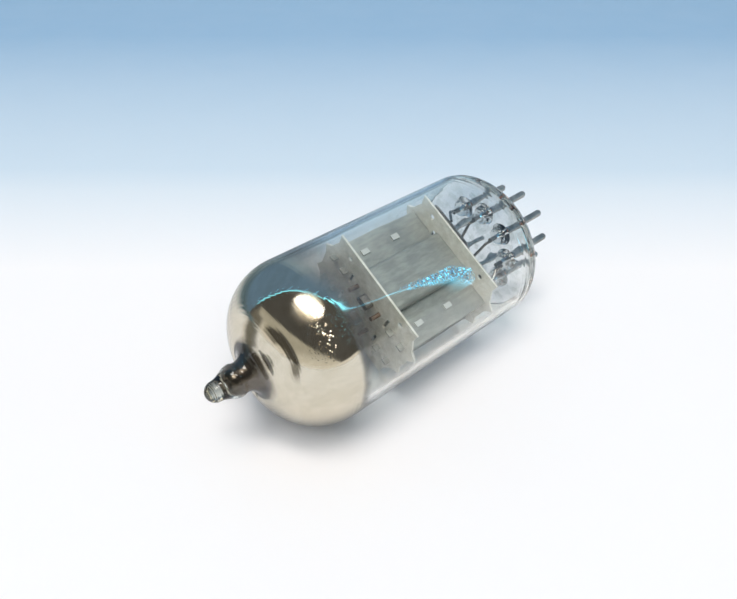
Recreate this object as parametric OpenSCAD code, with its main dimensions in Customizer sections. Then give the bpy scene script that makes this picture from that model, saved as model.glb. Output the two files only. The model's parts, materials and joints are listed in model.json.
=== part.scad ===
// Miniature nine-pin twin triode tube, drawn upright on its pins.
// The origin is the centre of the pin circle on the seating plane, the flat
// underside of the glass base. +Z runs up to the exhaust tip, the two triodes
// lie in front of and behind the axis along Y, and the wide gap in the pin
// circle faces +X.

/* [Glass bulb] */
// Outer diameter of the bulb
bulb_d = 21.8; // [21.4:0.1:22.2]
// Wall of the bulb
bulb_wall = 0.9; // [0.7:0.05:1.0]
// Height of the dome's crown above the seating plane
crown_z = 41.7; // [40:0.1:43]
// Radius of the dome's round shoulder
shoulder_r = 8.1; // [7:0.1:9]
// Radius of the nearly flat cap over the dome
cap_r = 23; // [19:0.5:28]
// Radius of the round from the bulb's side to the flat underside of the base
base_round = 2.6; // [2.2:0.1:3]

/* [Exhaust tip] */
// Height of the tip's end above the crown
tip_h = 5.85; // [5:0.05:7]
// Diameter of the tip's round glass end
tip_end_d = 2.6; // [2:0.1:3]
// Diameter of the bulge left where the tubing was drawn down
tip_bulge_d = 4.2; // [4:0.1:4.6]
// Height of the bulge above the crown
tip_bulge_h = 2; // [1.9:0.05:2.4]
// Diameter of the neck under the bulge
tip_neck_d = 3.9; // [3.4:0.1:4]
// Radius of the flare where the neck runs out into the dome
tip_flare_r = 1.6; // [1.2:0.1:1.9]
// Diameter of the bore in the neck
bore_d = 2.7; // [2.4:0.1:2.8]
// Radius of the flare where the bore opens into the bulb
bore_flare_r = 2.2; // [2:0.1:2.4]
// Diameter of the bore where its round closed end starts
bore_end_d = 2.4; // [2:0.1:2.6]
// Height of the bore's closed end above the crown
bore_h = 3.2; // [2.7:0.1:3.4]

/* [Base and pins] */
// Diameter of the circle through the pins
pin_circle_d = 11.89; // [11.5:0.01:12.2]
// Diameter of a pin
pin_d = 1.016; // [0.95:0.001:1.08]
// Length of the pins below the seating plane
pin_len = 7.2; // [6:0.1:7.6]
// Diameter of the thinner wire that each pin is welded to, sealed in the glass
pin_seal_d = 0.6; // [0.5:0.05:0.7]
// Length of the thinner wire that shows below the seating plane
pin_neck = 0.25; // [0.2:0.05:0.4]
// Diameter of the dimple in the glass around each pin
dimple_d = 1.4; // [1.2:0.1:1.6]
// Depth of the dimples
dimple_h = 0.15; // [0.1:0.05:0.2]
// Height of the pins' inner ends above the seating plane
pin_inner_z = 4.6; // [4.5:0.1:5]
// Thickness of the glass button
button_t = 2.3; // [2:0.1:2.8]
// Height of the button's outer flange, on which the bulb is sealed
flange_t = 1.5; // [1.3:0.1:1.7]
// Height of the glass bead around each pin
bead_h = 1.2; // [0.9:0.1:1.2]
// Diameter of a bead at its foot
bead_foot_d = 3.2; // [2.8:0.1:3.4]
// Diameter of a bead below its round top
bead_top_d = 2.4; // [2:0.1:2.6]
// Radius of the round on a bead's top
bead_round = 0.6; // [0.3:0.1:0.7]

/* [Mica spacers] */
// Thickness of a mica sheet
mica_t = 0.3; // [0.2:0.05:0.4]
// Underside of the lower mica above the seating plane
mica_low_z = 9.15; // [8.6:0.05:9.4]
// Clear height between the two micas
cage_h = 14.55; // [13:0.05:15.4]
// Width of a mica between its straight front and back edges
mica_width = 12.4; // [11.8:0.1:13]
// Gap between the teeth of a mica and the glass
mica_glass_gap = 0.15; // [0.1:0.05:0.3]
// Depth of the notches between the teeth
notch_depth = 0.85; // [0.5:0.05:1.2]
// Half the angle that a tooth covers at its foot
tooth_half_a = 7; // [5:1:9]
// Angle of the teeth beside the long axis
tooth_a = 14; // [12:1:18]

/* [Triode units] */
// Distance from the tube's axis to the plane of each unit
unit_y = 2.3; // [2.1:0.05:2.5]
// Thickness of the anode sheet
sheet_t = 0.2; // [0.15:0.01:0.25]
// Overall width of an anode across its wings
anode_w = 16.4; // [15.4:0.1:16.8]
// Outer width of an anode's central box
box_w = 6.8; // [6.4:0.1:7.2]
// Depth of the box on each side of the unit's plane
box_depth = 1.45; // [1.4:0.01:1.55]
// Outer round on the box's long edges
box_round = 0.5; // [0.3:0.05:0.7]
// Distance of the inner anode tabs from the unit's middle
tab_inner_x = 5; // [4.8:0.1:5.4]
// Distance of the outer anode tabs from the unit's middle
tab_outer_x = 7.2; // [6.8:0.1:7.4]
// Width of an anode tab
tab_w = 0.9; // [0.6:0.1:1]
// Length of a tab beyond its mica
tab_len = 0.8; // [0.5:0.1:1]
// Distance of the clinches that hold the anode halves together from the unit's middle
clinch_x = 5.9; // [5.85:0.05:6.3]
// Height of the lower clinches above the lower mica
clinch_low = 4.9; // [4:0.1:5.5]
// Height of the upper clinches above the lower mica
clinch_high = 10.3; // [9:0.1:11]
// Width of a clinch
clinch_w = 0.7; // [0.5:0.1:0.8]
// Length of the clinch that is folded over
clinch_len = 1.2; // [0.8:0.1:1.5]
// Distance between the two rods of a grid
grid_span = 4.6; // [4.4:0.1:4.8]
// Diameter of a grid rod
grid_rod_d = 0.6; // [0.5:0.05:0.65]
// Length of the grid rods beyond each mica
grid_rod_out = 1.4; // [1.2:0.1:1.6]
// Diameter of the grid wire
grid_wire_d = 0.1; // [0.08:0.01:0.12]
// Half the thickness of the grid across its flat sides
grid_half_t = 0.75; // [0.7:0.01:0.85]
// Turns of grid wire
grid_turns = 12; // [8:1:16]
// Bare length of the grid rods inside each mica
grid_margin = 1.3; // [1:0.1:1.6]
// Width of the flat cathode sleeve
cathode_w = 2; // [1.8:0.05:2.1]
// Thickness of the flat cathode sleeve
cathode_d = 0.9; // [0.8:0.05:0.95]
// Wall of the cathode sleeve
cathode_wall = 0.08; // [0.06:0.01:0.1]
// Length of the cathode sleeve beyond each mica
cathode_out = 1.1; // [0.9:0.1:1.3]
// Diameter of the coated heater wire
heater_d = 0.3; // [0.26:0.01:0.32]
// Length of the heater's tails below the cathode
heater_tail = 1.6; // [1.4:0.1:1.8]

/* [Leads] */
// Diameter of the connecting wires
lead_d = 0.4; // [0.3:0.05:0.45]
// Length of a lead that lies along a pin
weld_len = 0.9; // [0.7:0.05:1]
// Height above the seating plane at which the leads turn in from the pins
bend_z = 5.1; // [4.9:0.05:5.3]
// Radius of the bends in the leads, on the wire's middle
bend_r = 0.4; // [0.3:0.05:0.5]
// Distance of the heater bus in front of the axis
bus_y = 5.7; // [5.4:0.1:5.9]

/* [Getter] */
// Height of the getter ring above the upper mica
getter_h = 5.7; // [5:0.1:6.2]
// Middle diameter of the getter ring
getter_d = 6.6; // [6:0.1:7.2]
// Width of the ring's open channel
channel_w = 1.4; // [1.2:0.1:1.6]
// Depth of the ring's open channel
channel_h = 1; // [0.8:0.1:1.2]
// Sheet thickness of the ring
channel_t = 0.15; // [0.1:0.01:0.2]
// Diameter of the post that carries the ring
post_d = 0.5; // [0.4:0.05:0.6]
// Distance of the post's foot from the axis
post_y = 4.9; // [4.6:0.1:5.1]
// Thickness of the metal mirror inside the dome
film_t = 0.06; // [0.04:0.01:0.1]
// Height of the mirror's lower edge above the seating plane
film_z = 32.6; // [31:0.1:33.2]

/* [Fits] */
// Gap around metal that is sealed in glass
seal_gap = 0.01; // [0:0.01:0.02]
// Gap around what passes through a mica
mica_gap = 0.05; // [0.03:0.01:0.08]
// Gap between parts that are welded or lie against each other
weld_gap = 0.02; // [0.01:0.01:0.04]

/* [Hidden] */

$fn = 48;

bulb_r = bulb_d / 2;
pin_r = pin_d / 2;
pin_pitch = 36;
pin_circle_r = pin_circle_d / 2;

// Centres of the outer and inner flares' arcs, and the angles at which they touch the cap
cap_z = crown_z - cap_r;
flare_x = tip_neck_d / 2 + tip_flare_r;
flare_z = cap_z + sqrt(pow(cap_r + tip_flare_r, 2) - pow(flare_x, 2));
flare_a = atan2(flare_x, flare_z - cap_z);
mouth_x = bore_d / 2 + bore_flare_r;
mouth_z = cap_z + sqrt(pow(cap_r - bulb_wall + bore_flare_r, 2) - pow(mouth_x, 2));
mouth_a = atan2(mouth_x, mouth_z - cap_z);
bore_end_z = crown_z + bore_h - bore_end_d / 2;

// Centre of the shoulder's round, which meets the cap in a common tangent outside the flares
cap_least_a = max(flare_a, mouth_a) + 0.5;
shoulder_most_r = (bulb_r - cap_r * sin(cap_least_a)) / (1 - sin(cap_least_a));
shoulder_round_r = min(shoulder_r, shoulder_most_r);
shoulder_x = bulb_r - shoulder_round_r;
shoulder_z = cap_z + sqrt(pow(cap_r - shoulder_round_r, 2) - pow(shoulder_x, 2));
join_a = atan2(shoulder_x, shoulder_z - cap_z);

// Heights of the micas' faces
cage_low_z = mica_low_z + mica_t;
cage_top_z = cage_low_z + cage_h;
mica_top_z = cage_top_z + mica_t;
mica_r = bulb_r - bulb_wall - mica_glass_gap;

// Where a lead lies beside the pin it is welded to
pin_lead_r = pin_seal_d / 2 + lead_d / 2 + weld_gap;
lead_foot_z = pin_inner_z - weld_len;

grid_rod_x = grid_span / 2;
cathode_low_z = mica_low_z - cathode_out;
heater_strand = (cathode_w - 2 * cathode_wall - heater_d) / 3 - 0.04;
heater_leg_x = 1.5 * heater_strand;
wire_sides = 12;
bend_steps = 4;
heater_low_z = cathode_low_z - heater_tail;
lead_top_z = mica_low_z - 0.25;
ring_z = mica_top_z + getter_h;

// Points on an arc about (x, z), with angles from +Z towards +X
function arc(x, z, r, from_a, to_a, steps) =
    [for (i = [0:steps]) let (a = from_a + (to_a - from_a) * i / steps) [x + r * sin(a), z + r * cos(a)]];

// Smooth run of radii from r0 at z0 to r1 at z1
function ease(r0, z0, r1, z1, steps) =
    [for (i = [1:steps]) let (t = i / steps) [r0 + (r1 - r0) * (1 - cos(180 * t)) / 2, z0 + (z1 - z0) * t]];

// The dome's half section from its cap down to the shoulder's foot, set in from the outside
function dome(inset, from_a) = concat(
    arc(0, cap_z, cap_r - inset, from_a, join_a, 6),
    [for (p = arc(shoulder_x, shoulder_z, shoulder_round_r - inset, join_a, 90, 18)) if (p[0] > 0) p]
);

// Round of the base from height z down to the flat underside or up to the bulb's side
function base_arc(from_a, to_a) = arc(bulb_r - base_round, base_round, base_round, from_a, to_a, 8);

// Angle on the base's round at height z
function base_angle(z) = acos((z - base_round) / base_round);

// Outer face of the drawn tip, from its end down to the dome
function tip_outside() = concat(
    arc(0, crown_z + tip_h - tip_end_d / 2, tip_end_d / 2, 0, 90, 8),
    ease(tip_end_d / 2, crown_z + tip_h - tip_end_d / 2, tip_bulge_d / 2, crown_z + tip_bulge_h, 8),
    but_last(ease(tip_bulge_d / 2, crown_z + tip_bulge_h, tip_neck_d / 2, flare_z, 5)),
    but_last(arc(flare_x, flare_z, tip_flare_r, -90, flare_a - 180, 8))
);

// Inner face of the bulb down to the height given, set in by extra
function inside(extra, low_z) = concat(
    arc(0, bore_end_z, bore_end_d / 2 - extra, 0, 90, 6),
    but_last(ease(bore_end_d / 2 - extra, bore_end_z, bore_d / 2 - extra, mouth_z, 4)),
    but_last(arc(mouth_x, mouth_z, bore_flare_r + extra, -90, mouth_a - 180, 8)),
    dome(bulb_wall + extra, mouth_a),
    [[bulb_r - bulb_wall - extra, low_z]]
);

function but_last(list) = [for (i = [0:len(list) - 2]) list[i]];

function reversed(list) = [for (i = [len(list) - 1:-1:0]) list[i]];

// Place of pin k on the pin circle, counted from the gap
function pin_at(k, r = pin_circle_r) = [r * cos(pin_pitch * k), r * sin(pin_pitch * k)];

// A point as far from pin k as a lead that is welded to its side, towards angle a
function beside_pin(k, a) = pin_at(k) + pin_lead_r * [cos(a), sin(a)];

// The last two points of a lead that comes down beside pin k
function to_pin(k, a) = [concat(beside_pin(k, a), bend_z), concat(beside_pin(k, a), lead_foot_z)];

// Bulb and drawn tip, blown as one piece
module envelope() {
    color([0.78, 0.86, 0.88, 0.35])
        rotate_extrude($fn = 96)
            polygon(concat(
                tip_outside(),
                dome(0, flare_a),
                base_arc(90, base_angle(flange_t)),
                reversed(inside(0, flange_t))
            ));
}

// Metal mirror on the inside of the dome and of the tip's bore
module getter_film() {
    color([0.55, 0.52, 0.48])
        rotate_extrude($fn = 96)
            polygon(concat(inside(seal_gap, film_z), reversed(inside(seal_gap + film_t, film_z))));
}

// Pressed glass disc that closes the bulb, with a bead around each pin
module base_button() {
    color([0.72, 0.82, 0.82, 0.5])
        difference() {
            union() {
                rotate_extrude($fn = 96) button_section();
                for (k = [1:9]) translate(concat(pin_at(k), button_t)) rotate_extrude() bead_section();
            }
            for (k = [1:9]) translate(concat(pin_at(k), 0)) {
                translate([0, 0, -1]) cylinder(d = pin_seal_d + 2 * seal_gap, h = button_t + bead_h + 2);
                translate([0, 0, -1]) cylinder(d = dimple_d, h = 1 + dimple_h);
            }
        }
}

module button_section() {
    plug_r = bulb_r - bulb_wall - weld_gap;
    polygon(concat(
        [[0, 0], [0, button_t], [plug_r, button_t], [plug_r, flange_t - weld_gap]],
        base_arc(base_angle(flange_t - weld_gap), 180)
    ));
}

// Glass drawn up round a pin
module bead_section() {
    polygon(concat(
        [[0, -0.1], [bead_foot_d / 2, -0.1], [bead_foot_d / 2, 0]],
        but_last(ease(bead_foot_d / 2, 0, bead_top_d / 2, bead_h - bead_round, 5)),
        arc(bead_top_d / 2 - bead_round, bead_h - bead_round, bead_round, 90, 0, 5),
        [[0, bead_h]]
    ));
}

// Straight pin with a round end, on a thinner wire that is sealed through the button
module pin(k) {
    color([0.36, 0.37, 0.38])
        translate(concat(pin_at(k), 0)) {
            translate([0, 0, pin_r - pin_len]) sphere(r = pin_r);
            translate([0, 0, pin_r - pin_len]) cylinder(r = pin_r, h = pin_len - pin_r - pin_neck);
            translate([0, 0, -pin_len / 2]) cylinder(d = pin_seal_d, h = pin_len / 2 + pin_inner_z);
        }
}

// Toothed sheet with straight front and back edges
module mica_outline() {
    foot_r = mica_r - notch_depth;
    corner_a = asin(mica_width / 2 / mica_r);
    intersection() {
        union() {
            circle(r = foot_r, $fn = 96);
            for (side = [0, 180], a = [-corner_a, -tooth_a, tooth_a, corner_a]) rotate(side + a)
                polygon([
                    [mica_r, 0],
                    (foot_r - 0.05) * [cos(tooth_half_a), sin(tooth_half_a)],
                    (foot_r - 0.05) * [cos(tooth_half_a), -sin(tooth_half_a)]
                ]);
        }
        square([2 * bulb_r, mica_width], center = true);
    }
}

// What passes through a mica for one unit, with its gaps
module mica_holes() {
    slot_t = sheet_t + 2 * mica_gap;
    stadium(cathode_w + 2 * mica_gap, cathode_d + 2 * mica_gap);
    for (side = [-1, 1]) {
        translate([side * grid_rod_x, 0]) circle(d = grid_rod_d + 2 * mica_gap);
        for (x = [tab_inner_x, tab_outer_x]) translate([side * x, weld_gap / 2 + sheet_t / 2])
            square([tab_w + 2 * mica_gap, slot_t], center = true);
        // Slot that lengthens the leakage path between the grid and the anode
        translate([side * (box_w / 2 + 0.35), 0]) square([0.45, 2], center = true);
    }
}

module mica(z, post = false) {
    color([0.72, 0.68, 0.58])
        translate([0, 0, z])
            linear_extrude(height = mica_t)
                difference() {
                    mica_outline();
                    for (turn = [0, 180]) rotate(turn) translate([0, unit_y]) mica_holes();
                    // Locating holes near the corners
                    for (x = [-1, 1], y = [-1, 1]) translate([x * 5.2, y * 4.75]) circle(d = 0.8);
                    if (post) translate([0, post_y]) circle(d = post_d + 2 * mica_gap);
                }
}

// Rectangle with half round ends
module stadium(w, d) {
    square([w - d, d], center = true);
    for (side = [-1, 1]) translate([side * (w - d) / 2, 0]) circle(d = d);
}

// Rectangle with all corners round
module round_rect(w, d, r) {
    square([w, d - 2 * r], center = true);
    square([w - 2 * r, d], center = true);
    for (x = [-1, 1], y = [-1, 1]) translate([x * (w / 2 - r), y * (d / 2 - r)]) circle(r = r);
}

// Section of one pressed half of an anode: flat wings, and half of the central box
module anode_section() {
    intersection() {
        difference() {
            union() {
                translate([-anode_w / 2, 0]) square([anode_w, sheet_t]);
                round_rect(box_w, 2 * box_depth, box_round);
            }
            round_rect(box_w - 2 * sheet_t, 2 * (box_depth - sheet_t), box_round - sheet_t);
        }
        translate([-anode_w, 0]) square([2 * anode_w, anode_w]);
    }
}

// One pressed half of an anode, its box towards +Y; the tabbed one goes through the micas
// and is held by the clinches of the other
module anode_half(tabs) {
    color([0.42, 0.44, 0.43])
        translate([0, weld_gap / 2, 0])
            difference() {
                union() {
                    translate([0, 0, cage_low_z + weld_gap])
                        linear_extrude(height = cage_h - 2 * weld_gap) anode_section();
                    if (tabs)
                        for (side = [-1, 1], x = [tab_inner_x, tab_outer_x])
                            translate([side * x - tab_w / 2, 0, mica_low_z - tab_len])
                                cube([tab_w, sheet_t, cage_h + 2 * mica_t + 2 * tab_len]);
                    else
                        at_clinches() clinch();
                }
                if (tabs) at_clinches() translate([0, sheet_t / 2, sheet_t / 2])
                    cube([clinch_w + 2 * weld_gap, 3 * sheet_t, sheet_t + 2 * weld_gap], center = true);
            }
}

module at_clinches() {
    for (side = [-1, 1], z = [clinch_low, clinch_high]) translate([side * clinch_x, 0, cage_low_z + z]) children();
}

// Narrow tongue through the other half's slot, folded up over its face
module clinch() {
    reach = sheet_t + 2 * weld_gap;
    translate([-clinch_w / 2, -reach - sheet_t, 0]) {
        cube([clinch_w, reach + 1.5 * sheet_t, sheet_t]);
        cube([clinch_w, sheet_t, clinch_len]);
    }
}

// Carries a unit drawn about its own plane to the back, or turned to the front
module unit(back) {
    rotate(back ? 0 : 180) translate([0, unit_y, 0]) children();
}

module anode_outer(back) {
    unit(back) anode_half(true);
}

module anode_inner(back) {
    unit(back) rotate(180) anode_half(false);
}

module grid_rod(back, side) {
    color([0.62, 0.5, 0.4])
        translate([side * grid_rod_x, back ? unit_y : -unit_y, mica_low_z - grid_rod_out])
            cylinder(d = grid_rod_d, h = cage_h + 2 * mica_t + 2 * grid_rod_out);
}

// Place on the grid's flat oval at angle a, which clears the rods
function oval(a, out) =
    [(grid_rod_x + grid_rod_d / 2 + 2 * grid_wire_d + out) * cos(a), (grid_half_t + out) * sin(a)];

// Square wire wound as one helix round both rods
module grid_wire(back) {
    steps = 16;
    low_z = cage_low_z + grid_margin;
    pitch = (cage_h - 2 * grid_margin) / grid_turns;
    count = grid_turns * steps;
    half = grid_wire_d / 2;
    // The four corners of the wire's section at each step
    corners = [
        for (i = [0:count], c = [[-half, -half], [half, -half], [half, half], [-half, half]])
            concat(oval(360 / steps * (i + 0.5), c[0]), low_z + pitch * i / steps + c[1])
    ];
    sides = [
        for (i = [0:count - 1], c = [0:3], upper = [0, 1])
            let (a = 4 * i + c, b = 4 * i + (c + 1) % 4)
            upper == 0 ? [a, b, b + 4] : [a, b + 4, a + 4]
    ];
    color([0.7, 0.68, 0.6])
        unit(back)
            polyhedron(corners, concat([[3, 2, 1, 0]], sides, [[for (c = [0:3]) 4 * count + c]]));
}

module cathode(back) {
    color([0.82, 0.82, 0.8])
        unit(back)
            translate([0, 0, cathode_low_z])
                linear_extrude(height = cage_h + 2 * mica_t + 2 * cathode_out)
                    difference() {
                        stadium(cathode_w, cathode_d);
                        stadium(cathode_w - 2 * cathode_wall, cathode_d - 2 * cathode_wall);
                    }
}

// Direction of the run that starts at point i
function run_dir(points, i) = (points[i + 1] - points[i]) / norm(points[i + 1] - points[i]);

// Vector v turned about a unit axis
function turned(v, axis, a) = v * cos(a) + cross(axis, v) * sin(a);

// Stations of a bent wire from point i on: place, direction and side vector of each section
function stations(points, bend, i, side) =
    i == len(points) - 1 ? [[points[i], run_dir(points, i - 1), side]] :
    let (
        u = run_dir(points, i - 1),
        v = run_dir(points, i),
        axis = cross(u, v) / norm(cross(u, v)),
        a = atan2(norm(cross(u, v)), u * v),
        centre = points[i] - bend * tan(a / 2) * u + bend * cross(axis, u),
        along = side - axis * (axis * side)
    )
    concat(
        [for (k = [0:bend_steps]) let (t = a * k / bend_steps)
            [centre - bend * turned(cross(axis, u), axis, t), turned(u, axis, t),
                turned(along, axis, t) + axis * (axis * side)]],
        stations(points, bend, i + 1, turned(along, axis, a) + axis * (axis * side))
    );

// Round wire swept through a list of points, with round bends at the inner ones
module wire(points, d, bend) {
    u = run_dir(points, 0);
    side = abs(u[0]) < 0.9 ? cross(u, [1, 0, 0]) : cross(u, [0, 1, 0]);
    path = concat([[points[0], u, side / norm(side)]], stations(points, bend, 1, side / norm(side)));
    n = wire_sides;
    rings = [
        for (s = path, k = [0:n - 1]) let (a = 360 * k / n)
            s[0] + d / 2 * (cos(a) * s[2] + sin(a) * cross(s[1], s[2]))
    ];
    sides = [
        for (i = [0:len(path) - 2], k = [0:n - 1])
            [n * i + k, n * (i + 1) + k, n * (i + 1) + (k + 1) % n, n * i + (k + 1) % n]
    ];
    last = n * (len(path) - 1);
    polyhedron(rings, concat([[for (k = [0:n - 1]) k]], sides, [[for (k = [n - 1:-1:0]) last + k]]));
}

// Folded heater: four strands in the sleeve and two tails below it
module heater(back) {
    top = mica_top_z + cathode_out - 0.6;
    fold = cathode_low_z + 0.8;
    color([0.9, 0.9, 0.88])
        unit(back)
            wire([
                [-heater_leg_x, 0, heater_low_z],
                [-heater_leg_x, 0, top],
                [-heater_strand / 2, 0, top],
                [-heater_strand / 2, 0, fold],
                [heater_strand / 2, 0, fold],
                [heater_strand / 2, 0, top],
                [heater_leg_x, 0, top],
                [heater_leg_x, 0, heater_low_z]
            ], heater_d, heater_strand / 2 - 0.02);
}

module lead(points) {
    color([0.55, 0.56, 0.56]) wire(points, lead_d, bend_r);
}

// The front unit uses pins 6, 7 and 8 and the back unit pins 1, 2 and 3
module opposite(back) {
    rotate(back ? 180 : 0) children();
}

module anode_lead(back) {
    y = -(unit_y + weld_gap / 2 + sheet_t + weld_gap + lead_d / 2);
    opposite(back)
        lead(concat([[-tab_outer_x, y, lead_top_z], [-tab_outer_x, y, mica_low_z - tab_len - 0.6]], to_pin(6, 180)));
}

module grid_lead(back) {
    y = -(unit_y + grid_rod_d / 2 + weld_gap + lead_d / 2);
    opposite(back)
        lead(concat([[-grid_rod_x, y, lead_top_z], [-grid_rod_x, y, mica_low_z - grid_rod_out - 0.2]], to_pin(7, 90)));
}

module cathode_lead(back) {
    x = (cathode_w - cathode_d) / 2 - 0.2;
    y = -(unit_y + cathode_d / 2 + weld_gap + lead_d / 2);
    opposite(back)
        lead(concat([[x, y, lead_top_z], [x, y, cathode_low_z - 0.4]], to_pin(8, 90)));
}

// Where a lead lies beside a heater tail
tail_lead_x = heater_leg_x + heater_d / 2 + weld_gap + lead_d / 2;
tail_top_z = cathode_low_z - weld_gap - 0.2;
tail_turn_z = heater_low_z - 0.6;

module heater_lead(back) {
    x = back ? -tail_lead_x : tail_lead_x;
    y = back ? unit_y : -unit_y;
    lead(concat([[x, y, tail_top_z], [x, y, tail_turn_z]], back ? to_pin(4, 0) : to_pin(5, 0)));
}

// Height and stations of the bus, which is tapped for pin 9
bus_z = mica_low_z - lead_d / 2 - 0.5;
bus_left_x = -lead_d;
bus_tap_x = grid_rod_x + 2 * lead_d;
bus_right_x = tab_outer_x - 3 * lead_d;
bus_back_x = tab_outer_x;

// From the front heater along the lower mica's front edge and round to the back heater
module heater_bus() {
    lead([
        [-tail_lead_x, -unit_y, tail_top_z],
        [-tail_lead_x, -unit_y, tail_turn_z],
        [bus_left_x, -bus_y, bus_z],
        [bus_right_x, -bus_y, bus_z],
        [bus_back_x, -unit_y / 2, bus_z - 2 * lead_d],
        [tail_lead_x, unit_y, tail_turn_z],
        [tail_lead_x, unit_y, tail_top_z]
    ]);
}

module heater_tap() {
    pin_x = pin_at(9)[0];
    lead(concat(
        [[bus_tap_x, -bus_y, bus_z - lead_d - weld_gap], [pin_x - lead_d / 2, -bus_y + 2 * lead_d, bend_z + 1.3]],
        to_pin(9, 270)
    ));
}

// Open channel that held the getter metal
module getter_ring() {
    color([0.58, 0.58, 0.57])
        translate([0, 0, ring_z])
            rotate_extrude($fn = 72)
                translate([getter_d / 2 - channel_w / 2, 0])
                    difference() {
                        square([channel_w, channel_h]);
                        translate([channel_t, channel_t]) square([channel_w - 2 * channel_t, channel_h]);
                    }
}

// Post from the upper mica to the underside of the ring
module getter_post() {
    color([0.58, 0.58, 0.57])
        wire([
            [0, post_y, cage_top_z - 0.5],
            [0, post_y, mica_top_z + getter_h / 2],
            [0, getter_d / 2, ring_z - weld_gap - post_d / 2],
            [0, getter_d / 2 - channel_w / 2, ring_z - weld_gap - post_d / 2]
        ], post_d, bend_r);
}

envelope();
base_button();
getter_film();
pin(1);  // pin_1
pin(2);  // pin_2
pin(3);  // pin_3
pin(4);  // pin_4
pin(5);  // pin_5
pin(6);  // pin_6
pin(7);  // pin_7
pin(8);  // pin_8
pin(9);  // pin_9
mica(mica_low_z);  // mica_lower
mica(cage_top_z, post = true);  // mica_upper
anode_outer(false);  // anode_front_outer
anode_inner(false);  // anode_front_inner
anode_outer(true);  // anode_back_outer
anode_inner(true);  // anode_back_inner
grid_rod(false, -1);  // grid_rod_front_left
grid_rod(false, 1);  // grid_rod_front_right
grid_rod(true, -1);  // grid_rod_back_left
grid_rod(true, 1);  // grid_rod_back_right
grid_wire(false);  // grid_wire_front
grid_wire(true);  // grid_wire_back
cathode(false);  // cathode_front
cathode(true);  // cathode_back
heater(false);  // heater_front
heater(true);  // heater_back
anode_lead(false);  // anode_lead_front
anode_lead(true);  // anode_lead_back
grid_lead(false);  // grid_lead_front
grid_lead(true);  // grid_lead_back
cathode_lead(false);  // cathode_lead_front
cathode_lead(true);  // cathode_lead_back
heater_lead(false);  // heater_lead_front
heater_lead(true);  // heater_lead_back
heater_bus();
heater_tap();
getter_ring();
getter_post();
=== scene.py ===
"""Looks, lights and camera for the miniature twin triode tube."""

import json
import math
from functools import reduce

import bpy
import numpy as np
from mathutils import Matrix, Vector


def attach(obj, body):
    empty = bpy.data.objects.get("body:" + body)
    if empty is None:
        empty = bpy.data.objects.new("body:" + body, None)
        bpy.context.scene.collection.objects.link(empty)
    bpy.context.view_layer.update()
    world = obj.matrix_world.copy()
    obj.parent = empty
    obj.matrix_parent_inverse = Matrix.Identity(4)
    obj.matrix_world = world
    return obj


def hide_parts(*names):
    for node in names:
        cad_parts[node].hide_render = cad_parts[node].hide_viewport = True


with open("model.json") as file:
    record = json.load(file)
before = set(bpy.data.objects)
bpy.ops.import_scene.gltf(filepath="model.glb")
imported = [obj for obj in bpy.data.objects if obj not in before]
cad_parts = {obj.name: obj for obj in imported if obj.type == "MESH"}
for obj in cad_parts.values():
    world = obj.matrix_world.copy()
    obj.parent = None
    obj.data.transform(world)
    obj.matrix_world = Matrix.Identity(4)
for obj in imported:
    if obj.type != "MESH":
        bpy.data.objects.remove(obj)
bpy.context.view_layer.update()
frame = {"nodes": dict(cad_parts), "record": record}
nodes = frame["nodes"]
MM = 0.001

# Directions of the photograph: the table's normal, and the way across the tube on the table
TABLE = Vector((0.495, -0.869, 0.0)).normalized()
ACROSS = Vector((0.869, 0.495, 0.0)).normalized()
UP = Vector((0.0, 0.0, 1.0))
X, Y, Z = (1, 0, 0), (0, 1, 0), (0, 0, 1)

# Sizes of the bulb in mm, which the solid has too
BULB_R = 10.9
WALL = 0.9
CROWN_Z = 41.7
CAP_R = 23.0
SHOULDER_R = 8.1
BORE_R = 1.35
BORE_END_R = 1.2
BORE_RISE = 3.2

WHITE = (1.0, 1.0, 1.0)
EVEN = (1, 1, 1)
GLASS_IOR = 1.5

# Most values of a noise lie between these two
NOISE_LOW = 0.3
NOISE_HIGH = 0.7


# Short calls for shader nodes

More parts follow.
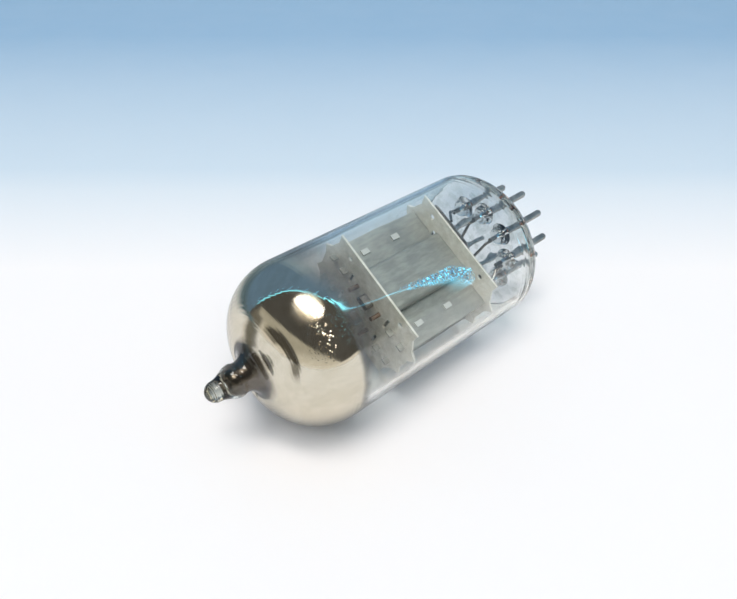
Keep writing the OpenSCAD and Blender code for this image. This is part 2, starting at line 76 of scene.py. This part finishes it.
class Shader:
    """The node tree of a material or a world."""

    def __init__(self, owner, output="ShaderNodeOutputMaterial"):
        owner.use_nodes = True
        self.owner = owner
        self.tree = owner.node_tree
        self.tree.nodes.clear()
        self.out = self.tree.nodes.new(output)
        self.coord = self.tree.nodes.new("ShaderNodeTexCoord")
        self.place = self.coord.outputs["Object"]

    def node(self, kind, settings=None, **inputs):
        """A new node; an input is named, or i and its number."""
        n = self.tree.nodes.new(kind)
        for key, value in (settings or {}).items():
            setattr(n, key, value)
        for key, value in inputs.items():
            numbered = key[0] == "i" and key[1:].isdigit()
            socket = n.inputs[int(key[1:]) if numbered else key.replace("_", " ")]
            if isinstance(value, bpy.types.NodeSocket):
                self.tree.links.new(value, socket)
            elif socket.type == "RGBA":
                socket.default_value = (*value, 1.0)
            else:
                socket.default_value = value
        return n

    def math(self, op, a, b=0.0):
        return self.node("ShaderNodeMath", {"operation": op}, i0=a, i1=b).outputs[0]

    def times(self, *values):
        return reduce(lambda a, b: self.math("MULTIPLY", a, b), values)

    def most(self, *values):
        return reduce(lambda a, b: self.math("MAXIMUM", a, b), values)

    def plus(self, a, b):
        return self.math("ADD", a, b)

    def minus(self, a, b):
        return self.math("SUBTRACT", a, b)

    def over(self, a, b):
        return self.math("DIVIDE", a, b)

    def magnitude(self, a):
        return self.math("ABSOLUTE", a)

    def vector(self, op, a, **inputs):
        return self.node("ShaderNodeVectorMath", {"operation": op}, i0=a, **inputs).outputs

    def dot(self, direction, vector=None):
        return self.vector("DOT_PRODUCT", vector or self.place, i1=direction)["Value"]

    def distance(self, point, vector=None):
        return self.vector("DISTANCE", vector or self.place, i1=point)["Value"]

    def ramp(self, value, low, high):
        """Smooth step from 0 at low to 1 at high, which may be the lower number."""
        settings = {"interpolation_type": "SMOOTHSTEP", "clamp": True}
        return self.node("ShaderNodeMapRange", settings, i0=value, i1=low, i2=high).outputs[0]

    def span(self, value, low, high, to_low, to_high):
        """Straight step from to_low at low to to_high at high."""
        inputs = {"i0": value, "i1": low, "i2": high, "i3": to_low, "i4": to_high}
        return self.node("ShaderNodeMapRange", {"clamp": True}, **inputs).outputs[0]

    def curve(self, value, low, high, points):
        """Piecewise straight curve through (input, output) points; both run from low to high."""
        size = high - low
        n = self.node("ShaderNodeFloatCurve", Value=self.span(value, low, high, 0.0, 1.0))
        curve = n.mapping.curves[0]
        while len(curve.points) < len(points):
            curve.points.new(0.5, 0.5)
        for point, (x, y) in zip(curve.points, points):
            point.location = ((x - low) / size, (y - low) / size)
            point.handle_type = "VECTOR"
        n.mapping.update()
        return self.span(n.outputs[0], 0.0, 1.0, low, high)

    def mix(self, fac, a, b):
        return self.node("ShaderNodeMix", {"data_type": "RGBA"}, i0=fac, i6=a, i7=b).outputs[2]

    def shades(self, value, dark, light, low=NOISE_LOW, high=NOISE_HIGH):
        return self.mix(self.ramp(value, low, high), dark, light)

    def vary(self, noise, low, high):
        return self.span(noise, NOISE_LOW, NOISE_HIGH, low, high)

    def noise(self, scale, detail=3.0, rough=0.5, stretch=EVEN, shift=0.0):
        place = self.node(
            "ShaderNodeMapping", i0=self.place, Scale=stretch, Location=(shift, shift * 0.7, shift * 1.3))
        return self.node(
            "ShaderNodeTexNoise", Vector=place.outputs[0], Scale=scale, Detail=detail, Roughness=rough
        ).outputs["Fac"]

    def cells(self, scale):
        return self.node("ShaderNodeTexVoronoi", Vector=self.place, Scale=scale).outputs

    def tilted(self, way, amount):
        """The face's normal, leaned over by an amount of way."""
        lean = self.vector("SCALE", way, Scale=amount)[0]
        normal = self.node("ShaderNodeNewGeometry").outputs["Normal"]
        return self.vector("NORMALIZE", self.vector("ADD", lean, i1=normal)[0])[0]

    def bump(self, height, strength, distance):
        return self.node("ShaderNodeBump", Height=height, Strength=strength, Distance=distance).outputs[0]

    def principled(self, **inputs):
        return self.node("ShaderNodeBsdfPrincipled", **inputs).outputs[0]

    def transparent(self, color=WHITE):
        return self.node("ShaderNodeBsdfTransparent", Color=color).outputs[0]

    def blend(self, fac, a, b):
        return self.node("ShaderNodeMixShader", i0=fac, i1=a, i2=b).outputs[0]

    def finish(self, shader):
        self.tree.links.new(shader, self.out.inputs["Surface"])
        return self.owner


def material(name):
    return Shader(bpy.data.materials.new(name))


# Glass

def light_passes(m, shader, tint):
    """Lets the lamps' light through glass without waiting for caustics."""
    path = m.node("ShaderNodeLightPath")
    through = m.most(path.outputs["Is Shadow Ray"], path.outputs["Is Diffuse Ray"])
    return m.blend(through, shader, m.transparent(tint))


# Heights in m on the bulb's side where the trail of grit is wide, and where it has thinned out
TRAIL_WIDE_Z = 0.0165
TRAIL_THIN_Z = 0.0246


def grit_trail(m, z):
    """Where grit lies on the bulb's side, in a trail that is wider towards the pins."""
    bend = m.span(z, 0.0141, 0.0167, -0.0014, 0.0)
    middle = m.plus(m.span(z, 0.0167, TRAIL_THIN_Z, -0.0039, -0.00267), bend)
    half_width = m.span(z, TRAIL_WIDE_Z, TRAIL_THIN_Z, 0.0007, 0.00005)
    beside = m.minus(m.magnitude(m.minus(m.dot(X), middle)), half_width)
    front = m.ramp(m.dot(Y), 0.0, -0.001)
    ends = m.times(m.ramp(z, 0.0262, 0.0235), m.ramp(z, 0.0134, 0.0142))
    return m.times(m.ramp(beside, 0.0002, -0.0002), front, ends)


def glitter(m, scale, amount):
    """Normal turned a little, a different way in each small cell."""
    centred = m.vector("SUBTRACT", m.cells(scale)["Color"], i1=(0.5, 0.5, 0.5))[0]
    return m.tilted(centred, amount)


def bulb_glass():
    m = material("bulb_glass")
    smudge = m.noise(420.0, 5.0, 0.65, (1, 1, 0.6), 3.1)
    z = m.dot(Z)
    # Uneven glass, with rings around the seal to the base
    rings = m.times(m.math("SINE", m.times(z, 7500.0)), m.ramp(z, 0.0052, 0.0025), 0.2)
    ripple = m.plus(m.noise(260.0, 2.0, 0.4, (1, 1, 0.25)), rings)
    depth = m.math("MINIMUM", m.span(z, 0.002, 0.01, 0.4, 0.12), m.span(z, 0.026, 0.033, 0.12, 0.03))
    # Clear walls, greyer at the seal, with a painted warm reflection of the table on the side towards it,
    # and greenest at the tip
    table_reflection = m.ramp(m.dot(ACROSS * -0.2 - TABLE), 0.001, 0.009)
    tint = m.mix(m.ramp(z, 0.0045, 0.0025), (0.96, 0.98, 0.975), (0.86, 0.88, 0.84))
    tint = m.mix(m.times(table_reflection, m.ramp(z, 0.034, 0.026)), tint, (0.96, 0.93, 0.84))
    tip = m.ramp(z, 0.0435, 0.045)
    dusty = grit_trail(m, z)
    glass = m.principled(
        Base_Color=m.mix(tip, tint, (0.62, 0.64, 0.58)),
        Transmission_Weight=1.0,
        IOR=GLASS_IOR,
        Roughness=m.most(m.span(smudge, 0.55, 0.75, 0.0, 0.035), m.times(tip, 0.1), m.times(dusty, 0.3)),
        Normal=m.bump(ripple, depth, 0.0004),
    )
    grit = m.principled(
        Base_Color=(0.9, 0.93, 0.95),
        Metallic=1.0,
        Roughness=m.span(z, TRAIL_WIDE_Z, 0.024, 0.16, 0.1),
        Normal=glitter(m, 5000.0, m.span(z, TRAIL_WIDE_Z, 0.024, 0.15, 0.06)),
    )
    sparkle = m.times(dusty, m.span(m.noise(3600.0, 0.0, 0.5), 0.45, 0.53, 0.0, 0.95))
    # Less light gets through where it grazes the wall
    grazing = m.node("ShaderNodeLayerWeight", Blend=0.5).outputs["Facing"]
    passed = m.shades(grazing, (0.93, 0.95, 0.96), (0.22, 0.25, 0.27), 0.5, 0.95)
    return m.finish(light_passes(m, m.blend(sparkle, glass, grit), passed))


def base_glass():
    m = material("base_glass")
    waves = m.noise(300.0, 1.0, 0.4)
    patchy = m.shades(m.noise(420.0, 3.0, 0.6, shift=6.0), (0.7, 0.73, 0.71), WHITE, 0.37, 0.5)
    beads = m.ramp(m.dot(Z), 0.0024, 0.0027)
    glass = m.principled(
        Base_Color=m.mix(beads, patchy, (0.52, 0.55, 0.54)),
        Transmission_Weight=1.0,
        IOR=GLASS_IOR,
        Roughness=m.span(waves, 0.45, 0.8, 0.0, 0.08),
        Normal=m.bump(waves, 0.35, 0.0006),
    )
    return m.finish(light_passes(m, glass, (0.85, 0.9, 0.9)))


# Metals, mica and coatings

def worn(m, fine, share):
    """Broad stains, and a tone from fine grain with that share of them."""
    broad = m.noise(180.0, 4.0, 0.6, shift=5.3)
    tone = m.plus(m.times(fine, 1 - share), m.times(broad, share))
    return broad, m.ramp(tone, 0.35, 0.68)


def metal(name, dark, light, rough, grain=EVEN):
    m = material(name)
    fine = m.noise(900.0, 4.0, 0.6, grain)
    broad, tone = worn(m, fine, 0.35)
    return m.finish(m.principled(
        Base_Color=m.mix(tone, dark, light),
        Metallic=1.0,
        Roughness=m.vary(broad, rough * 0.75, rough * 1.3),
        Normal=m.bump(fine, 0.1, 0.00005),
    ))


def anode_sheet():
    m = material("anode_sheet")
    fine = m.noise(1500.0, 4.0, 0.6, (1, 1, 0.3))
    broad, tone = worn(m, fine, 0.4)
    sheet = m.mix(tone, (0.285, 0.29, 0.26), (0.42, 0.425, 0.385))
    # The clinches are folded over the darker sheet, and are painted lighter than it as a painted
    # highlight
    out = m.ramp(m.magnitude(m.dot(Y)), 0.002525, 0.002535)
    beside = m.ramp(m.magnitude(m.dot(X)), 0.0054, 0.0055)
    highlit_clinch = m.times(out, beside)
    return m.finish(m.principled(
        Base_Color=m.mix(highlit_clinch, sheet, (0.6, 0.6, 0.56)),
        Metallic=m.span(highlit_clinch, 0.0, 1.0, 0.55, 0.2),
        Roughness=m.vary(broad, 0.38, 0.6),
        Normal=m.bump(fine, 0.15, 0.00005),
    ))


def pin_metal():
    m = material("pin_metal")
    fine = m.noise(2500.0, 4.0, 0.6, (1, 1, 0.15))
    broad = m.noise(500.0, 4.0, 0.65, shift=2.0)
    z = m.dot(Z)
    # Grey below the seat, copper in the seal and dark above it
    outside = m.shades(broad, (0.27, 0.27, 0.26), (0.48, 0.48, 0.465), 0.35)
    copper = m.shades(broad, (0.34, 0.12, 0.07), (0.55, 0.24, 0.15))
    inside = m.shades(broad, (0.2, 0.19, 0.18), (0.36, 0.35, 0.33))
    sealed = m.mix(m.ramp(z, 0.0021, 0.0024), copper, inside)
    return m.finish(m.principled(
        Base_Color=m.mix(m.ramp(z, -0.0001, 0.0001), outside, sealed),
        Metallic=0.85,
        Roughness=m.vary(broad, 0.3, 0.5),
        Normal=m.bump(fine, 0.2, 0.00006),
    ))


def mica():
    m = material("mica")
    flake = m.noise(700.0, 6.0, 0.7, (1, 1, 0.2))
    broad = m.noise(220.0, 3.0, 0.5, (1, 1, 0.2), 4.0)
    sheet = m.principled(
        Base_Color=m.shades(flake, (0.9, 0.86, 0.73), (1.0, 0.97, 0.87)),
        Roughness=m.vary(broad, 0.18, 0.4),
        Specular_IOR_Level=0.7,
        Normal=m.bump(flake, 0.15, 0.0001),
    )
    clear = m.transparent((0.85, 0.8, 0.7))
    return m.finish(m.blend(m.span(flake, 0.35, 0.7, 0.75, 0.92), clear, sheet))


def coating_grit(m):
    grit = m.noise(4000.0, 3.0, 0.6)
    return grit, m.bump(grit, 0.3, 0.00004)


def heater_coating():
    m = material("heater_coating")
    grit, rough_normal = coating_grit(m)
    return m.finish(m.principled(
        Base_Color=m.shades(grit, (0.8, 0.8, 0.78), (0.9, 0.9, 0.88)),
        Roughness=0.85,
        Normal=rough_normal,
    ))


def cathode_coating():
    m = material("cathode_coating")
    z = m.dot(Z)
    grit, rough_normal = coating_grit(m)
    # The sleeve is coated between the micas and bare at its ends
    coated = m.times(m.ramp(z, 0.0104, 0.0106), m.ramp(z, 0.0231, 0.0229))
    bare = m.shades(grit, (0.28, 0.27, 0.26), (0.4, 0.39, 0.37))
    coat = m.shades(grit, (0.75, 0.75, 0.72), (0.86, 0.86, 0.84))
    return m.finish(m.principled(
        Base_Color=m.mix(coated, bare, coat),
        Metallic=m.span(coated, 0.0, 1.0, 0.9, 0.0),
        Roughness=m.span(coated, 0.0, 1.0, 0.4, 0.85),
        Normal=rough_normal,
    ))


# The getter's metal

GRAINY_SPOT = (-0.0034, -0.0099, 0.0355)
BRIGHT_SPOT = (0.0008, -0.0104, 0.0362)
SPARK_SHARE = 0.45
SPARK_LEAN = ACROSS * 0.3 + TABLE * 0.12 - UP * 0.06


def sparks(m, grains):
    """Normal leaned over in a few small round spots only, by a different amount in each."""
    cells = m.cells(5200.0)
    chance = m.dot(Y, cells["Color"])
    chosen = m.ramp(chance, 1.0 - SPARK_SHARE, 1.02 - SPARK_SHARE)
    inside = m.ramp(m.plus(grains, chance), 1.0, 1.1)
    amount = m.span(m.dot(X, cells["Color"]), 0.0, 1.0, 0.45, 1.25)
    return m.tilted(SPARK_LEAN, m.times(chosen, m.ramp(cells["Distance"], 0.42, 0.32), inside, amount))


def getter_mirror():
    m = material("getter_mirror")
    z = m.dot(Z)
    cloud = m.noise(170.0, 3.0, 0.5)
    uneven = m.vary(cloud, -0.0004, 0.0004)
    near = m.dot(ACROSS * -0.7 - TABLE * 0.6)
    # Thick metal above, then a haze that reaches lower on the side away from the table
    edge = m.plus(m.span(near, -0.002, 0.004, 0.0322, 0.0329), uneven)
    soft = m.span(near, -0.004, 0.002, 0.0018, 0.0004)
    thick = m.ramp(m.over(m.minus(z, edge), soft), -1.0, 1.0)
    reach = m.plus(m.span(near, -0.003, 0.006, 0.0262, 0.0312), m.vary(cloud, -0.001, 0.001))
    fade = m.span(near, -0.003, 0.006, 0.006, 0.002)
    haze = m.ramp(m.over(m.minus(z, reach), fade), 0.0, 1.0)
    streak = m.noise(600.0, 4.0, 0.6, (1, 1, 0.4), 7.0)
    grains = m.ramp(m.distance(GRAINY_SPOT), 0.0034, 0.0022)
    hazy = m.times(m.ramp(m.distance(BRIGHT_SPOT), 0.0029, 0.0015), 0.2)
    # Darker and browner around the tip's bore
    level = m.vector("MULTIPLY", m.place, i1=(1, 1, 0))[0]
    from_axis = m.plus(m.vector("LENGTH", level)["Value"], uneven)
    darker_near_bore = m.times(m.ramp(from_axis, 0.0042, 0.0029), m.ramp(z, 0.039, 0.0395))
    bright = m.shades(streak, (0.66, 0.59, 0.47), (0.72, 0.655, 0.54), 0.35)
    streaky = m.times(m.span(grains, 0.0, 1.0, 0.035, 0.1), m.span(streak, 0.3, 0.75, 0.7, 1.4))
    mirror = m.principled(
        Base_Color=m.mix(darker_near_bore, bright, (0.13, 0.11, 0.09)),
        Metallic=1.0,
        Roughness=m.most(m.times(darker_near_bore, 0.22), hazy, streaky),
        Normal=sparks(m, grains),
    )
    thin = m.principled(
        Base_Color=m.shades(streak, (0.17, 0.17, 0.17), (0.23, 0.235, 0.24)),
        Metallic=0.3,
        Roughness=0.2,
    )
    stained = m.transparent(m.mix(haze, WHITE, (0.6, 0.54, 0.47)))
    return m.finish(m.blend(thick, m.blend(m.times(haze, 0.55), stained, thin), mirror))


# The film on the glass, thick in the dome and thinning to smoke below it, is wider at the bore's mouth

FILM_MOUTH_R = 3.2
FILM_LOW_Z = 25.5
FILM_PROUD = 0.02


def film_profile(proud):
    """Half section of the bulb's inner face in mm, set out into the glass, from the bore's end down."""
    cap_r = CAP_R - WALL + proud
    bore_r = BORE_R + proud
    end_r = BORE_END_R + proud
    cap_z = CROWN_Z - CAP_R
    end_z = CROWN_Z + BORE_RISE - BORE_END_R
    mouth_x = bore_r + FILM_MOUTH_R
    mouth_z = cap_z + math.sqrt((cap_r + FILM_MOUTH_R) ** 2 - mouth_x ** 2)
    mouth_a = math.atan2(mouth_x, mouth_z - cap_z)
    shoulder_x = BULB_R - SHOULDER_R
    shoulder_z = cap_z + math.sqrt((CAP_R - SHOULDER_R) ** 2 - shoulder_x ** 2)
    join_a = math.atan2(shoulder_x, shoulder_z - cap_z)

    def arc(x, z, r, start, end, count):
        return [(x + r * math.sin(a), z + r * math.cos(a)) for a in np.linspace(start, end, count)]

    def ease(t):
        rise = (1 - math.cos(math.pi * t)) / 2
        return end_r + (bore_r - end_r) * rise, end_z + (mouth_z - end_z) * t

    points = arc(0, end_z, end_r, 0.25, math.pi / 2, 8)
    points += [ease(t) for t in np.linspace(0, 1, 6)[1:-1]]
    points += arc(mouth_x, mouth_z, FILM_MOUTH_R, -math.pi / 2, mouth_a - math.pi, 16)
    points += arc(0, cap_z, cap_r, mouth_a, join_a, 10)[1:]
    points += arc(shoulder_x, shoulder_z, SHOULDER_R - WALL + proud, join_a, math.pi / 2, 25)[1:]
    points += [(BULB_R - WALL + proud, z) for z in np.linspace(shoulder_z, FILM_LOW_Z, 12)[1:]]
    return points


def linked(name, data):
    thing = bpy.data.objects.new(name, data)
    bpy.context.scene.collection.objects.link(thing)
    return thing


def revolve(name, profile, steps=128):
    verts, faces = [], []
    n = len(profile)
    for k in range(steps):
        a = 2 * math.pi * k / steps
        verts += [(r * math.cos(a) * MM, r * math.sin(a) * MM, z * MM) for r, z in profile]
        j = (k + 1) % steps
        faces += [(k * n + i, k * n + i + 1, j * n + i + 1, j * n + i) for i in range(n - 1)]
    mesh = bpy.data.meshes.new(name)
    mesh.from_pydata(verts, [], faces)
    mesh.shade_smooth()
    return linked(name, mesh)


film = revolve("getter_film_on_glass", film_profile(FILM_PROUD))
film.data.materials.append(getter_mirror())
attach(film, "root")
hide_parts("getter_film")


# Materials of the solids

LOOKS = {
    "bulb_glass": bulb_glass(),
    "base_glass": base_glass(),
    "pin_metal": pin_metal(),
    "mica": mica(),
    "anode_sheet": anode_sheet(),
    "grid_rod_metal": metal("grid_rod_metal", (0.27, 0.2, 0.16), (0.42, 0.3, 0.23), 0.35, (1, 1, 0.1)),
    "grid_wire_metal": metal("grid_wire_metal", (0.6, 0.56, 0.48), (0.75, 0.72, 0.64), 0.25),
    "cathode_coating": cathode_coating(),
    "heater_coating": heater_coating(),
    "getter_metal": metal("getter_metal", (0.25, 0.24, 0.22), (0.45, 0.44, 0.42), 0.35),
    "wire_metal": metal("wire_metal", (0.2, 0.19, 0.18), (0.34, 0.33, 0.31), 0.3, (1, 1, 0.2)),
    "getter_mirror": film.data.materials[0],
}
for part in frame["record"]["subparts"]:
    mesh = nodes[part["node"]].data
    mesh.materials.clear()
    mesh.materials.append(LOOKS[part["material_slot"]])


# The table that the tube lies on in the photograph: it touches the bulb's side

TABLE_HALF = 0.9
TABLE_GAP = 0.02

# A post and a wire that only the metal shows, as painted reflections: their way along the table, foot,
# spread and colour
POST_WAY = (ACROSS * 0.695 + UP * 0.719).normalized()
POST_FOOT = ACROSS * 0.004 + UP * 0.041
POST_SPREAD = (0.21, 0.08)
POST_REFLECTION_COLOR = (0.2, 0.19, 0.165)
WIRE_WAY = (UP * 0.96 - ACROSS * 0.28).normalized()
WIRE_FOOT = ACROSS * -0.005 + UP * 0.040
WIRE_SPREAD = (0.17, 0.07)
WIRE_REFLECTION_COLOR = (0.13, 0.12, 0.1)


def behind(m, way, spread, place):
    """How far a place or direction lies behind an upright thing that way along the table."""
    aside = m.magnitude(m.dot(way.cross(TABLE), place))
    return m.ramp(m.over(aside, m.most(m.dot(way, place), 0.0001)), *spread)


def table_top():
    m = material("table_top")
    # Painted shade and painted sky light: the table is painted darker and bluer the further away it lies
    far = m.dot(ACROSS * 0.741 - UP * 0.671)
    paper = m.noise(60.0, 4.0, 0.6)
    color = m.mix(m.span(far, 0.008, 0.045, 0.0, 1.0), (0.95, 0.93, 0.94), (0.65, 0.755, 0.85))
    color = m.mix(m.span(far, 0.035, 0.14, 0.0, 1.0), color, (0.325, 0.5, 0.695))
    color = m.mix(m.vary(paper, 0.0, 0.04), color, (0.8, 0.84, 0.9))
    # Painted reflections, seen only by glossy rays: the metal mirrors a darker table behind the tube, and
    # two dark things out of view
    mirrored = m.node("ShaderNodeLightPath").outputs["Is Glossy Ray"]
    along = m.dot(UP)
    darker_reflection = m.times(m.ramp(far, -0.005, 0.05), m.span(along, -0.03, 0.01, 0.35, 1.0))
    color = m.mix(m.times(mirrored, darker_reflection), color, (0.14, 0.21, 0.26))
    post = behind(m, POST_WAY, POST_SPREAD, m.vector("SUBTRACT", m.place, i1=POST_FOOT)[0])
    color = m.mix(m.times(mirrored, post), color, POST_REFLECTION_COLOR)
    wire = behind(m, WIRE_WAY, WIRE_SPREAD, m.vector("SUBTRACT", m.place, i1=WIRE_FOOT)[0])
    wire = m.times(wire, m.ramp(along, 0.056, 0.085), 0.8)
    color = m.mix(m.times(mirrored, wire), color, WIRE_REFLECTION_COLOR)
    top = m.node("ShaderNodeBsdfDiffuse", Color=color).outputs[0]
    # Far off, the metal mirrors the room's ground in place of the unlit end of the table
    back = m.node("ShaderNodeNewGeometry").outputs["Backfacing"]
    unlit = m.times(mirrored, m.ramp(m.vector("LENGTH", m.place)["Value"], 0.15, 0.3))
    return m.finish(m.blend(m.most(back, unlit), top, m.transparent()))


def table_plane():
    centre = -TABLE * (BULB_R + TABLE_GAP) * MM + UP * 0.018
    signs = ((-1, -1), (1, -1), (1, 1), (-1, 1))
    corners = [centre + ACROSS * x * TABLE_HALF + UP * y * TABLE_HALF for x, y in signs]
    mesh = bpy.data.meshes.new("table")
    mesh.from_pydata([tuple(c) for c in corners], [], [(0, 1, 2, 3)])
    if mesh.polygons[0].normal.dot(TABLE) < 0:
        mesh.flip_normals()
    mesh.materials.append(table_top())
    linked("table", mesh)


table_plane()


# Sky over the table, a darker room on the near side, and white behind it all for the camera

LAMP_WAY = (TABLE * 0.97 - ACROSS * 0.12 + UP * 0.08).normalized()
ARCH_MIDDLE = (ACROSS * 0.1 - TABLE * 0.12 + UP * 0.985).normalized()
ARCH_R = 0.33
SKY_EDGE = (
    (-1.0, -0.85), (-0.76, -0.66), (-0.69, -0.61), (-0.61, -0.57), (-0.53, -0.505), (-0.47, -0.494),
    (-0.3, -0.487), (-0.16, -0.455), (-0.07, -0.35), (0.17, -0.16), (0.37, 0.02), (0.53, 0.2),
    (0.64, 0.37), (0.75, 0.47), (0.8, 0.53), (1.0, 0.75),
)


def make_world():
    world = bpy.data.worlds.new("room")
    bpy.context.scene.world = world
    m = Shader(world, "ShaderNodeOutputWorld")
    way = m.coord.outputs["Generated"]
    height = m.dot(TABLE, way)
    side = m.dot(ACROSS, way)
    along = m.dot(UP, way)
    # The sky ends on a curve, with the dark room beyond it
    past = m.minus(along, m.curve(side, -1.0, 1.0, SKY_EDGE))
    pale = m.times(m.ramp(along, -0.35, -0.6), m.ramp(side, 0.4, 0.75))
    sky = m.mix(pale, (0.15, 0.25, 0.38), (0.5, 0.68, 0.8))
    color = m.mix(m.ramp(past, -0.03, 0.03), sky, (0.095, 0.093, 0.09))
    # A bright line follows the curve, thinner on its flat stretch
    flat = m.magnitude(m.plus(along, 0.49))
    width = m.times(m.span(along, -0.63, -0.59, 0.026, 0.005), m.span(flat, 0.01, 0.05, 0.45, 1.0))
    line = m.over(1.0, m.plus(m.math("POWER", m.over(past, width), 4.0), 1.0))
    line = m.times(line, m.ramp(along, -0.655, -0.645), m.ramp(side, 0.82, 0.76))
    color = m.mix(line, color, (1.5, 6.0, 8.0))
    glow = m.ramp(m.dot(LAMP_WAY, way), 0.92, 0.99)
    color = m.mix(m.times(glow, 0.9), color, (1.6, 1.3, 0.9))
    # A pale wall beyond the tip, with a dark post before it
    wall = m.ramp(m.minus(height, m.times(along, 0.59)), 0.04, -0.04)
    wall = m.times(wall, m.times(m.ramp(along, 0.0, 0.1), m.ramp(side, 0.76, 0.66)))
    color = m.mix(wall, color, m.shades(height, (0.8, 0.77, 0.69), (0.52, 0.5, 0.43), 0.0, 0.3))
    post = m.times(behind(m, POST_WAY, POST_SPREAD, way), m.ramp(height, 0.3, 0.15))
    color = m.mix(post, color, POST_REFLECTION_COLOR)
    ground = m.shades(side, (0.9, 0.88, 0.84), (0.13, 0.2, 0.25), 0.5, 0.8)
    color = m.mix(m.ramp(height, -0.02, 0.02), ground, color)
    # A dark arch stands on the ground before the wall
    arch = m.ramp(m.magnitude(m.minus(m.distance(ARCH_MIDDLE, way), ARCH_R)), 0.2, 0.1)
    foot = m.ramp(m.plus(height, m.times(side, -0.35)), -0.18, 0.02)
    arch = m.times(arch, foot, m.ramp(along, 0.6, 0.8))
    color = m.mix(arch, color, (0.09, 0.085, 0.075))
    lit = m.node("ShaderNodeBackground", Color=color, Strength=1.0).outputs[0]
    seen = m.node("ShaderNodeBackground", Color=(0.93, 0.95, 0.98), Strength=1.0).outputs[0]
    # The camera sees the plain background, straight or through glass alone
    path = m.node("ShaderNodeLightPath").outputs
    through = m.times(path["Is Transmission Ray"], m.math("LESS_THAN", path["Glossy Depth"], 0.5))
    m.finish(m.blend(m.most(path["Is Camera Ray"], through), lit, seen))


make_world()


# Lamps

LAMP_TARGET = Vector((0, 0, 0.02))


def soft_lamp(name, way, long_way, distance, size, power, color):
    data = bpy.data.lights.new(name, "AREA")
    data.shape = "ELLIPSE"
    data.size, data.size_y = size
    data.energy = power
    data.color = color
    lamp = linked(name, data)
    z_axis = way.normalized()
    y_axis = z_axis.cross(long_way).normalized()
    turn = Matrix((y_axis.cross(z_axis), y_axis, z_axis)).transposed().to_4x4()
    lamp.matrix_world = Matrix.Translation(LAMP_TARGET + z_axis * distance) @ turn
    return lamp


soft_lamp("key", LAMP_WAY, ACROSS * 0.91 + UP * 0.41, 0.8, (0.58, 0.21), 3.1, (1.0, 0.98, 0.95))
for name, way, power in (
    ("window", TABLE * 0.85 - ACROSS * 0.12 + UP * 0.5, 11.4),
    ("fill", TABLE * 0.75 - ACROSS * 0.6 + UP * 0.1, 5.0),
):
    lamp = soft_lamp(name, way, UP, 2.0, (1.0, 1.0), power, (0.97, 0.985, 1.0))
    lamp.visible_glossy = False
    lamp.visible_transmission = False


# Camera, fitted to the photograph

SENSOR_MM = 36.0
PHOTO_WIDTH_PX = 737.0
FOCAL_PX = 650.0
CAMERA_MM = (-16.507, -71.007, 67.763)
CAMERA_RIGHT = (-0.5827, -0.3321, -0.7418)
CAMERA_FORWARD = (0.1995, 0.8264, -0.5267)


def make_camera():
    data = bpy.data.cameras.new("camera")
    data.sensor_width = SENSOR_MM
    data.lens = FOCAL_PX / PHOTO_WIDTH_PX * SENSOR_MM
    data.clip_start, data.clip_end = 0.001, 10.0
    right = Vector(CAMERA_RIGHT).normalized()
    forward = Vector(CAMERA_FORWARD).normalized()
    up = right.cross(forward).normalized()
    turn = Matrix((right, up, -forward)).transposed().to_4x4()
    camera = linked("camera", data)
    camera.matrix_world = Matrix.Translation(Vector(CAMERA_MM) * MM) @ turn
    bpy.context.scene.camera = camera


make_camera()
bpy.context.scene.view_settings.view_transform = "Standard"
